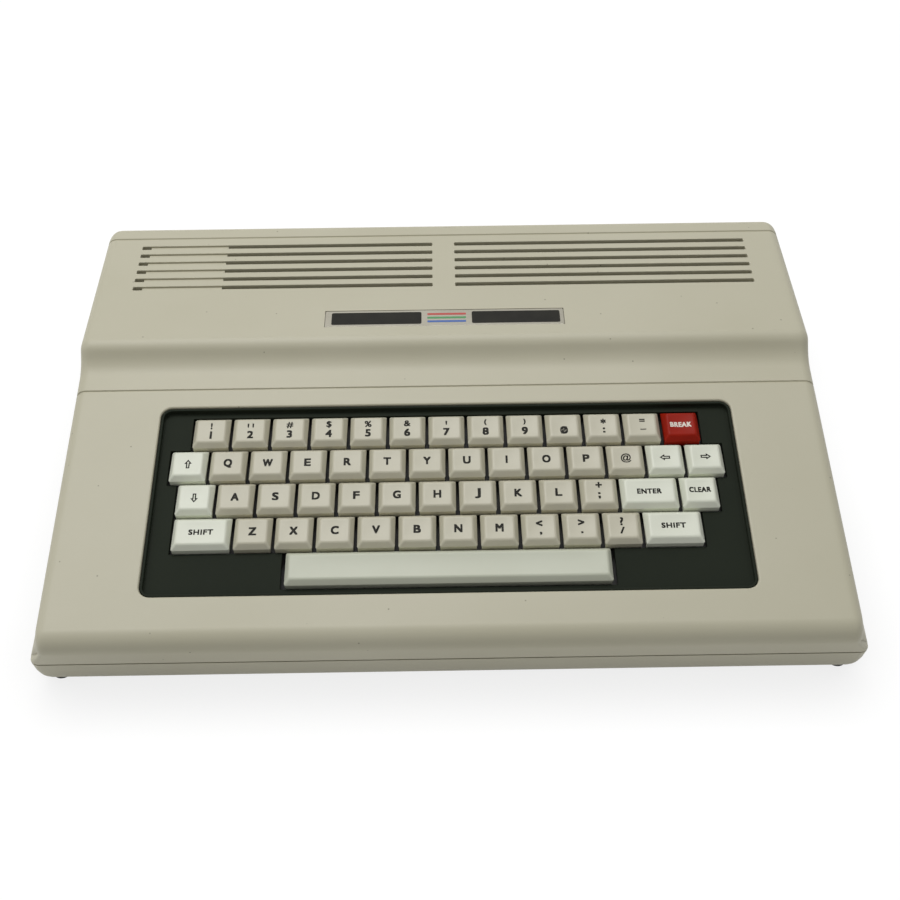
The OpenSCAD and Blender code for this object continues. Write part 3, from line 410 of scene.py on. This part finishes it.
def roundedCorner(before, corner, after, radius):
    a, b = (before - corner).normalized(), (after - corner).normalized()
    half = a.angle(b) / 2
    middle = corner + (a + b).normalized() * radius / math.sin(half)
    first = corner + a * radius / math.tan(half) - middle
    last = corner + b * radius / math.tan(half) - middle
    turn = math.atan2(first.x * last.y - first.y * last.x, first.dot(last))
    parts = cover["arcParts"]
    return [middle + Matrix.Rotation(turn * i / parts, 2) @ first for i in range(parts + 1)]


def coverProfile(frontInset, backInset, drop):
    # points [y, z] from the foot of the front face over the top to the foot of the back
    face = faceFoot + frontInset
    deck = cover["frontHeight"] - cover["frontY"] * math.tan(slope) - drop / math.cos(slope)
    rise = cover["height"] - (cover["frontY"] + cover["stepBack"]) * math.tan(ramp) - drop / math.cos(ramp)
    top = cover["height"] - drop
    nose = (face - deck * math.tan(lean)) / (1 + math.tan(slope) * math.tan(lean))
    foot = (deck - rise) / (math.tan(ramp) - math.tan(slope))
    low = cover["low"]
    corners = [Vector(p) for p in (
        (face - low * math.tan(lean), low), (nose, deck + nose * math.tan(slope)),
        (foot, deck + foot * math.tan(slope)), ((top - rise) / math.tan(ramp), top),
        (backY - backInset, top), (backY - backInset, low))]
    radii = (cover["nose"], cover["rampFoot"] + drop, cover["rampCrest"] - drop, cover["backEdge"])
    points = [corners[0]]
    for i, radius in enumerate(radii):
        arc = roundedCorner(*corners[i:i + 3], radius)
        if i:  # the long straight parts are split so that the side walls follow smoothly
            parts = cover["straightParts"]
            points += [points[-1].lerp(arc[0], t / parts) for t in range(1, parts)]
        points += arc
    return points + [corners[5]]


def cornerInset(radius, d):
    # how far an outline has drawn in at the distance d from the side wall of a rounded corner
    return radius - math.sqrt(radius ** 2 - (radius - d) ** 2) if d < radius else 0.0


def coverSkin():
    bm = bmesh.new()
    order = bm.verts.layers.int.new("order")
    parts = cover["cornerParts"]
    halves = [cover["backCorner"] * (1 - math.cos(math.radians(90 * i / parts))) for i in range(parts + 1)]
    sections = [(-(topX - d), d) for d in halves] + [(topX - d, d) for d in reversed(halves)]
    edges, firstEdges = [], []
    for x, d in sections:
        places = coverProfile(cornerInset(cover["frontCorner"], d), cornerInset(cover["backCorner"], d),
                              cornerInset(cover["edge"], d))
        wide = x + math.copysign(cover["topDraw"], x)
        if not edges:
            ring = [bm.verts.new((0, 0, 0)) for _ in places]
            for i, v in enumerate(ring):
                v[order] = i
            edges = [bm.edges.new(pair) for pair in zip(ring, ring[1:])]
            firstEdges = list(edges)
        else:
            made = bmesh.ops.extrude_edge_only(bm, edges=edges)["geom"]
            ring = [g for g in made if isinstance(g, bmesh.types.BMVert)]
            edges = [g for g in made if isinstance(g, bmesh.types.BMEdge)
                     and all(v in set(ring) for v in g.verts)]
        last = len(places) - 1
        for v in ring:
            p = places[v[order]]
            v.co = (wide if v[order] in (0, last) else x, p.x, p.y)
    # side walls, down from the profile's edges; nose and back edge close onto their own foot
    noseEnd = cover["arcParts"] + 1
    for sideEdges, x in ((firstEdges, sections[0][0]), (edges, sections[-1][0])):
        upper = [e for e in sideEdges if not {0, last} & {v[order] for v in e.verts}]
        feet = {v[order]: v for e in sideEdges for v in e.verts if v[order] in (0, last)}
        made = bmesh.ops.extrude_edge_only(bm, edges=upper)["geom"]
        for v in (g for g in made if isinstance(g, bmesh.types.BMVert)):
            y = min(max(v.co.y, feet[0].co.y), feet[last].co.y)
            if v[order] <= noseEnd:
                y = feet[0].co.y
            v.co = (x + math.copysign(cover["topDraw"], x), y, cover["low"])
    bmesh.ops.remove_doubles(bm, verts=bm.verts, dist=0.001)
    bmesh.ops.recalc_face_normals(bm, faces=bm.faces)
    if max(bm.faces, key=lambda f: f.calc_center_median().z).normal.z < 0:
        bmesh.ops.reverse_faces(bm, faces=bm.faces)
    return bm


def cutGroove(bm, place, normal):
    # a strip of the outer skin between two parallel planes, pushed in
    half = cover["grooveWidth"] / 2
    normal = Vector(normal)
    for side in (-1, 1):
        geometry = withEdges([f for f in bm.faces if f.material_index == 0])
        bmesh.ops.bisect_plane(bm, geom=geometry, plane_co=Vector(place) + normal * half * side,
                               plane_no=normal)
    strip = [f for f in bm.faces if f.material_index == 0
             and all(abs((v.co - Vector(place)).dot(normal)) < half + 0.01 for v in f.verts)]
    bmesh.ops.inset_region(bm, faces=strip, use_even_offset=True, thickness=cover["grooveSide"],
                           depth=-cover["grooveDepth"])


def coverCutters():
    bm = bmesh.new()
    y0, past = cover["frontY"], 6.0  # a cutter reaches that far past the skin
    through = (backY - past, backY + past)
    fromTop = (cover["height"] - past, cover["height"] + past)
    opening = box(bm, span(0, keyboard["openingWidth"]),
                  (-keyboard["openingFront"], keyboard["openingRear"]), (-past * 2, past),
                  keyboard["openingRadius"], 8)
    bmesh.ops.transform(bm, matrix=onKeyboard, verts=opening)
    for i in range(vents["rows"]):
        y = y0 + vents["back"] + (i - (vents["rows"] - 1) / 2) * vents["pitch"]
        for side in (-1, 1):
            ends = sorted((side * vents["inner"], side * vents["outer"]))
            box(bm, ends, span(y, vents["width"]), fromTop, vents["corner"], 4)
    box(bm, span(0, badge["width"] + 2 * badge["gap"]),
        span(y0 + badge["back"], badge["depth"] + 2 * badge["gap"]),
        (cover["height"] - badge["thick"], fromTop[1]))
    h = rear["height"]
    for x in (-rear["buttonX"], rear["buttonX"]):
        box(bm, span(x, rear["hole"]), through, span(h, rear["hole"]))
    for x in rear["roundX"]:
        cylinder(bm, (x, backY, h), rear["roundHole"], 2 * past)
    cylinder(bm, (rear["jackX"], backY, h), rear["jackHole"], 2 * past)
    cylinder(bm, (rear["glandX"], backY, h), rear["glandRim"], 2 * past)
    wide, high = rear["sliderSlot"]
    box(bm, span(rear["sliderX"], wide), through, span(h, high))
    box(bm, (topX - bay["inward"], topX + bay["outward"]), span(y0 + bay["back"], bay["width"]),
        (bay["low"], bay["high"]))
    bmesh.ops.recalc_face_normals(bm, faces=bm.faces)
    return bm


# distances from the opening's edges at which the deck is split, inside and outside them
splits = dict(sideIn=8.0, sideOut=6.0, frontOut=5.0, frontIn=8.0, rearIn=8.0, rearOut=4.0)


def splitAroundOpening(bm):
    # small flat faces round the opening keep the deck's shading even after the cut
    half, front, back = keyboard["openingWidth"] / 2, -keyboard["openingFront"], keyboard["openingRear"]
    planes = [((side * x, 0, 0), (1, 0, 0))
              for x in (half - splits["sideIn"], half + splits["sideOut"]) for side in (-1, 1)]
    planes += [(onKeyboard @ Vector((0, y, 0)), (0, math.cos(slope), math.sin(slope)))
               for y in (front - splits["frontOut"], front + splits["frontIn"], back - splits["rearIn"],
                         back + splits["rearOut"])]
    for place, normal in planes:
        bmesh.ops.bisect_plane(bm, geom=bm.verts[:] + bm.edges[:] + bm.faces[:], plane_co=place,
                               plane_no=normal)


def roundEdges(bm, test, radius, segments):
    # only edges sharper than 40 degrees with both ends where the test says
    chosen = [e for e in bm.edges if len(e.link_faces) == 2 and e.calc_face_angle(0.0) > math.radians(40.0)
              and all(test(v.co) for v in e.verts)]
    bevelled(bm, chosen, radius, segments, clamp=False)
    return len(chosen)


def addCover():
    shell = scratch(coverSkin(), "coverShell")
    for _ in range(2):  # the outside, and the inner wall, so that the grooves are cut in the outside alone
        shell.data.materials.append(materials["case_top"])
    thick = shell.modifiers.new("thick", "SOLIDIFY")
    thick.thickness, thick.offset, thick.use_even_offset = cover["wall"], -1.0, True
    thick.material_offset = thick.material_offset_rim = 1
    bm = applied(shell)
    bpy.data.objects.remove(shell)
    y = cover["frontY"] + cover["backGroove"]
    cutGroove(bm, (0, y, cover["height"]), (0, 1, 0))
    groove = onKeyboard @ Vector((0, keyboard["groove"], 0))
    cutGroove(bm, groove, (0, math.cos(slope), math.sin(slope)))
    for face in bm.faces:
        face.material_index = 0
    splitAroundOpening(bm)
    shell = scratch(bm, "coverShell")
    cutters = scratch(coverCutters(), "coverCutters")
    cut = shell.modifiers.new("cut", "BOOLEAN")
    cut.object, cut.operation, cut.solver = cutters, "DIFFERENCE", "EXACT"
    bm = applied(shell)
    bpy.data.objects.remove(shell)
    bpy.data.objects.remove(cutters)
    toDeck = onKeyboard.inverted()
    near = 0.1  # mm, how close a corner lies to the line that it belongs to

    def aroundOpening(p):
        q = toDeck @ p
        return (abs(q.z + keyboard["proud"]) < near / 2 and abs(q.x) < keyboard["openingWidth"] / 2 + near
                and -keyboard["openingFront"] - near < q.y < keyboard["openingRear"] + near)

    def atVents(p):
        return (abs(p.z - cover["height"]) < near / 5 and abs(p.x) < vents["outer"] + near
                and abs(p.y - cover["frontY"] - vents["back"]) < vents["rows"] / 2 * vents["pitch"])

    def atSeam(p):
        return abs(p.z - cover["low"]) < near / 10

    print("rounded edges:", roundEdges(bm, aroundOpening, keyboard["openingEdge"], 3),
          roundEdges(bm, atVents, vents["edge"], 2), roundEdges(bm, atSeam, cover["seamEdge"], 2))
    finished(bm, "topCover", "top_cover", [materials["case_top"]], sharp=50.0)


addCover()
print("top cover")


# Softened copies of the CAD nodes that show from outside

softEdges = dict(
    bottom_case=0.5, rubber_feet=0.5, keyboard_bezel=0.3, power_button=0.9, reset_button=0.9,
    cord_gland=0.5, round_sockets=0.3, rf_modulator=0.25, channel_slider=0.3, cartridge_flap=0.4,
    cartridge_connector=0.4, screws=0.25, push_switches=0.4, board_parts=0.3, transformer=0.5, heat_sink=0.3,
)
softening = dict(merge=0.002, flat=0.5, sharp=50.0, segments=3)  # mm, degrees, degrees, count


def addSoftened(node, radius):
    bm = bmesh.new()
    bm.from_mesh(frame["nodes"][node].data)
    bmesh.ops.scale(bm, vec=(1 / mm,) * 3, verts=bm.verts)
    bmesh.ops.remove_doubles(bm, verts=bm.verts, dist=softening["merge"])
    bmesh.ops.dissolve_limit(bm, angle_limit=math.radians(softening["flat"]), verts=bm.verts, edges=bm.edges)
    piece = scratch(bm, "softened")
    bevel = piece.modifiers.new("bevel", "BEVEL")
    bevel.width, bevel.segments = radius, softening["segments"]
    bevel.limit_method, bevel.angle_limit = "ANGLE", math.radians(softening["sharp"])
    bm = applied(piece)
    bpy.data.objects.remove(piece)
    finished(bm, pieceName(node), node, [materials[slotOf[node]]])


for node, radius in softEdges.items():
    addSoftened(node, radius)
print("softened pieces")


# Key caps and legends

caps = dict(pitch=19.05, gap=0.6, height=6.0, skirt=3.6, backSkirt=1.0, side=2.45, front=2.2, back=3.7,
            bow=0.3, corner=1.1, rim=0.8, dish=0.5, stem=5.0, stemTop=-1.5, stemEnd=-17.5)
# cuts across the top, the power of the dish's curve across it, and the stems in key pitches from the middle
plainCap = dict(cuts=10, dishPower=2, stems=(0,))
longCap = dict(cuts=40, dishPower=8, stems=(-3, 0, 3))
# height of the typeface, its width and how far each stroke is thickened, in parts of that height
typefaces = dict(
    letter=dict(size=5.7, wide=0.95, bold=0.043), digit=dict(size=6.0, wide=1.0, bold=0.04),
    zero=dict(size=5.8, wide=0.75, bold=0.055), sign=dict(size=4.6, wide=1.1, bold=0.03),
    mark=dict(size=5.6, wide=1.0, bold=0.035), tick=dict(size=8.0, wide=0.8, bold=0.015),
    bracket=dict(size=3.4, wide=1.1, bold=0.05), slash=dict(size=5.0, wide=1.5, bold=0.03),
    swirl=dict(size=5.4, wide=0.95, bold=0.018), word=dict(size=3.7, wide=1.0, bold=0.045),
)
wordWidths = dict(SHIFT=11.4, ENTER=11.6, CLEAR=10.3, BREAK=10.4)
arrow = dict(size=5.0, neck=0.02, stem=0.17, head=0.36, line=0.58)  # neck, stem and head in parts of its size
# single letters are drawn towards one width, by the share even
legends = dict(lift=0.03, down=0.6, wordSpacing=1.12, letterWidth=3.75, even=0.55)

# lower and upper legend of each number key, and the legends that need a typeface of their own
numberKeys = [("1", "!"), ("2", "'\u2009'"), ("3", "#"), ("4", "$"), ("5", "%"), ("6", "&"), ("7", "'"),
              ("8", "("), ("9", ")"), ("Ø", " ")]
special = {"Ø": "zero", "'\u2009'": "tick", "'": "tick", "(": "bracket", ")": "bracket"}
# row, left end in key widths from the first number key, width, legends as (text, typeface, x, y)
signKeys = [(1, i, 1, [(top, special.get(top, "sign"), 0, 2.9), (low, special.get(low, "digit"), 0, -2.4)])
            for i, (low, top) in enumerate(numberKeys)]
signKeys += [
    (1, 10, 1, [("*", "mark", 0.3, 2.5), (":", "digit", 0.4, -2.8)]),
    (1, 11, 1, [("=", "sign", 0.2, 2.7), ("–", "sign", 0.4, -2.6)]),
    (2, 10.5, 1, [("@", "swirl", 0, -0.3)]),
    (3, 9.75, 1, [("+", "mark", 0, 3.6), (";", "digit", 0, -2.3)]),
    (4, 8.25, 1, [("<", "mark", -0.6, 2.0), (",", "letter", 0, -1.8)]),
    (4, 9.25, 1, [(">", "mark", -0.2, 2.2), (".", "letter", 0, -1.8)]),
    (4, 10.25, 1, [("?", "mark", -0.4, 2.4), ("/", "slash", -0.4, -2.4)]),
]
namedKeys = {
    "key_break": (1, 12, 1, [("BREAK", "word", -0.2, -0.1)]),
    "key_up": (2, -0.5, 1, [("arrow90", "arrow", 0, 0)]),
    "key_left": (2, 11.5, 1, [("arrow180", "arrow", -0.4, -0.2)]),
    "key_right": (2, 12.5, 1, [("arrow0", "arrow", 0.2, 0)]),
    "key_down": (3, -0.25, 1, [("arrow270", "arrow", 0, -0.3)]),
    "key_enter": (3, 10.75, 1.5, [("ENTER", "word", -0.2, -0.2)]),
    "key_clear": (3, 12.25, 1, [("CLEAR", "word", -0.1, 0.2)]),
    "key_left_shift": (4, -0.25, 1.5, [("SHIFT", "word", 0, 0)]),
    "key_right_shift": (4, 11.25, 1.5, [("SHIFT", "word", -0.3, -0.1)]),
    "space_bar": (5, 2.54, 7.92, []),
}
for row, start, letters in ((2, 0.5, "qwertyuiop"), (3, 0.75, "asdfghjkl"), (4, 1.25, "zxcvbnm")):
    for i, c in enumerate(letters):
        namedKeys["key_" + c] = (row, start + i, 1, [(c.upper(), "letter", 0, 0)])


def capForm(width):
    return longCap if width > 4 else plainCap


def capHalf(width):
    # half the cap's length and half its depth at its foot
    return width * caps["pitch"] / 2 - caps["gap"] / 2, caps["pitch"] / 2 - caps["gap"] / 2


def capTop(width):
    # the flat top's rectangle: left, right, front, back
    x, y = capHalf(width)
    return caps["side"] - x, x - caps["side"], caps["front"] - y, y - caps["back"]


def dishDepth(width, x, y):
    left, right, front, back = capTop(width)
    middle = (front + back) / 2
    across = min(abs(x) / right, 1.0)
    along = min(abs(y - middle) / (back - middle), 1.0)
    return caps["dish"] * (1 - across ** capForm(width)["dishPower"]) * (1 - along ** 2)


def addCap(bm, width):
    x, y = capHalf(width)
    left, right, front, back = capTop(width)
    foot = {-1.0: caps["skirt"] - caps["height"], 1.0: caps["backSkirt"] - caps["height"]}
    corners = bmesh.ops.create_cube(bm, size=2.0)["verts"]
    for v in corners:
        v.co = ((right if v.co.x > 0 else left, back if v.co.y > 0 else front, 0) if v.co.z > 0
                else (v.co.x * x, v.co.y * y, foot[v.co.y]))
    uprights = [e for e in bm.edges if abs(e.verts[0].co.z - e.verts[1].co.z) > 1]
    bevelled(bm, uprights, caps["corner"], 5)
    rim = [e for e in bm.edges if all(v.co.z > -0.01 for v in e.verts)]
    bevelled(bm, rim, caps["rim"], 4)
    cuts = (capForm(width)["cuts"], plainCap["cuts"])
    for axis, low, high in ((0, left, right), (1, front, back)):
        for i in range(1, cuts[axis]):
            top = [f for f in bm.faces if f.normal.z > 0.98]
            place, normal = [0, 0, 0], [0, 0, 0]
            place[axis], normal[axis] = low + (high - low) * i / cuts[axis], 1
            bmesh.ops.bisect_plane(bm, geom=withEdges(top), plane_co=place, plane_no=normal)
    bmesh.ops.delete(bm, geom=[f for f in bm.faces if f.normal.z < -0.9], context="FACES_ONLY")
    mouth = [e for e in bm.edges if e.is_boundary]
    walls = bmesh.ops.extrude_edge_only(bm, edges=mouth)["geom"]
    for v in (g for g in walls if isinstance(g, bmesh.types.BMVert)):
        v.co.z = -caps["height"]
    for v in bm.verts:
        # the back is bowed a little, as seen from above
        if v.co.y > 0:
            v.co.y += caps["bow"] * v.co.y / y * (1 - (v.co.x / x) ** 4)
        if v.co.z > -caps["rim"]:
            v.co.z -= dishDepth(width, v.co.x, v.co.y) * (1 + v.co.z / caps["rim"])
    bmesh.ops.recalc_face_normals(bm, faces=bm.faces)


def textMesh(text, size, wide, bold):
    curve = bpy.data.curves.new("legend", "FONT")
    curve.body, curve.size = text, size
    curve.align_x, curve.align_y = "CENTER", "CENTER"
    curve.resolution_u = 4
    curve.space_character = legends["wordSpacing"] if text in wordWidths else 1.0
    piece = bpy.data.objects.new("legend", curve)
    layer.objects.link(piece)
    bm = applied(piece)
    bpy.data.objects.remove(piece)
    bpy.data.curves.remove(curve)
    if not bm.verts:  # a space
        return bm
    low = [min(v.co[i] for v in bm.verts) for i in (0, 1)]
    high = [max(v.co[i] for v in bm.verts) for i in (0, 1)]
    shift = [-(low[0] + high[0]) / 2, 0 if text in ",." else -(low[1] + high[1]) / 2, 0]
    bmesh.ops.translate(bm, vec=shift, verts=bm.verts)
    step = bold * size
    if text in wordWidths:
        wide = (wordWidths[text] - 2 * step) / (high[0] - low[0])
    elif text.isalpha() and text not in "IØ":
        aim = legends["letterWidth"] - 2 * step
        wide += (aim / (high[0] - low[0]) - wide) * legends["even"]
    bmesh.ops.scale(bm, vec=(wide, 1, 1), verts=bm.verts)
    # the print is heavier than the typeface: four copies shifted towards the corners
    strokes = bm.faces[:]
    bmesh.ops.translate(bm, vec=(-step, -step, 0), verts=bm.verts)
    for shiftX, shiftY in ((2, 0), (0, 2), (2, 2)):
        copy = bmesh.ops.duplicate(bm, geom=strokes)["geom"]
        bmesh.ops.translate(bm, vec=(shiftX * step, shiftY * step, 0),
                            verts=[g for g in copy if isinstance(g, bmesh.types.BMVert)])
    return bm


def arrowMesh(turn):
    # an outlined arrow that points along +X before it is turned
    bm = bmesh.new()
    half = arrow["size"] / 2
    neck, stem, head = (arrow[k] * arrow["size"] for k in ("neck", "stem", "head"))
    ring = [bm.verts.new((px, py, 0)) for px, py in (
        (half, 0), (neck, head), (neck, stem), (-half, stem), (-half, -stem), (neck, -stem), (neck, -head))]
    face = bm.faces.new(ring)
    bm.normal_update()
    bmesh.ops.inset_region(bm, faces=[face], thickness=arrow["line"], use_even_offset=True,
                           use_boundary=True)
    bmesh.ops.delete(bm, geom=[face], context="FACES_ONLY")
    bmesh.ops.rotate(bm, matrix=Matrix.Rotation(math.radians(turn), 3, "Z"), verts=bm.verts)
    return bm


def addKey(bm, place, texts):
    row, left, width = place
    single = bmesh.new()
    addCap(single, width)
    for i in capForm(width)["stems"]:
        box(single, span(i * caps["pitch"], caps["stem"]), span(0, caps["stem"]),
            (caps["stemEnd"], caps["stemTop"]))
    for text, typeface, x, y in texts:
        mark = arrowMesh(float(text[5:])) if typeface == "arrow" else textMesh(text, **typefaces[typeface])
        for v in mark.verts:
            v.co.x, v.co.y = v.co.x + x, v.co.y + y - legends["down"]
            v.co.z = legends["lift"] - dishDepth(width, v.co.x, v.co.y)
        for face in mark.faces:
            face.material_index = 1
            if face.normal.z < 0:
                face.normal_flip()
        carrier = bpy.data.meshes.new("mark")
        mark.to_mesh(carrier)
        mark.free()
        single.from_mesh(carrier)
        bpy.data.meshes.remove(carrier)
    x, y = (left + width / 2 - 6.5) * caps["pitch"], (3 - row) * caps["pitch"]
    bmesh.ops.transform(single, matrix=onKeyboard @ Matrix.Translation((x, y, 0)), verts=single.verts)
    carrier = bpy.data.meshes.new("key")
    single.to_mesh(carrier)
    single.free()
    bm.from_mesh(carrier)
    bpy.data.meshes.remove(carrier)


def addKeys():
    for node, (row, left, width, texts) in namedKeys.items():
        bm = bmesh.new()
        addKey(bm, (row, left, width), texts)
        ink = legendWhite if node == "key_break" else legendInk
        plastic = spaceBarPlastic if node == "space_bar" else materials[slotOf[node]]
        finished(bm, pieceName(node), node, [plastic, ink])
    bm = bmesh.new()
    for row, left, width, texts in signKeys:
        addKey(bm, (row, left, width), texts)
    finished(bm, "numberAndSignKeys", "number_and_sign_keys", [materials["key_beige"], legendInk])


addKeys()
print("keys")


# Nameplate: satin metal, two bare black panels and three thin stripes between them

plate = dict(corner=0.8, rim=0.3, raised=0.06, sunk=0.2, panelDepth=9.4, leftPanel=(-57.9, -11.8),
             rightPanel=(14.0, 59.2), panelCorner=0.9, panelDown=0.01, stripe=(-8.8, 11.0), stripeDepth=1.5,
             stripeStep=2.9, stripeCorner=0.3, stripeDown=0.02)


def addNameplate():
    y, top = cover["frontY"] + badge["back"], cover["height"]
    metalTop = top - plate["raised"]
    bm = bmesh.new()
    box(bm, span(0, badge["width"]), span(y, badge["depth"]), (top - badge["thick"], metalTop),
        plate["corner"], 4)
    rim = [e for e in bm.edges if all(v.co.z > metalTop - 0.01 for v in e.verts)]
    bevelled(bm, rim, plate["rim"], 2)
    finished(bm, "nameplatePlate", "nameplate", [materials["badge_metal"]])
    bm = bmesh.new()
    for panel in (plate["leftPanel"], plate["rightPanel"]):
        box(bm, panel, span(y, plate["panelDepth"]), (top - plate["sunk"], top - plate["panelDown"]),
            plate["panelCorner"], 4)
    finished(bm, "nameplatePanels", "nameplate", [legendInk], replace=False)
    for i, ink in enumerate(stripeInks):
        bm = bmesh.new()
        middle = y + (1 - i) * plate["stripeStep"]
        box(bm, plate["stripe"], span(middle, plate["stripeDepth"]),
            (top - plate["sunk"], top - plate["stripeDown"]), plate["stripeCorner"], 3)
        finished(bm, "nameplateStripe" + str(i + 1), "nameplate", [ink], replace=False)


addNameplate()
print("nameplate")
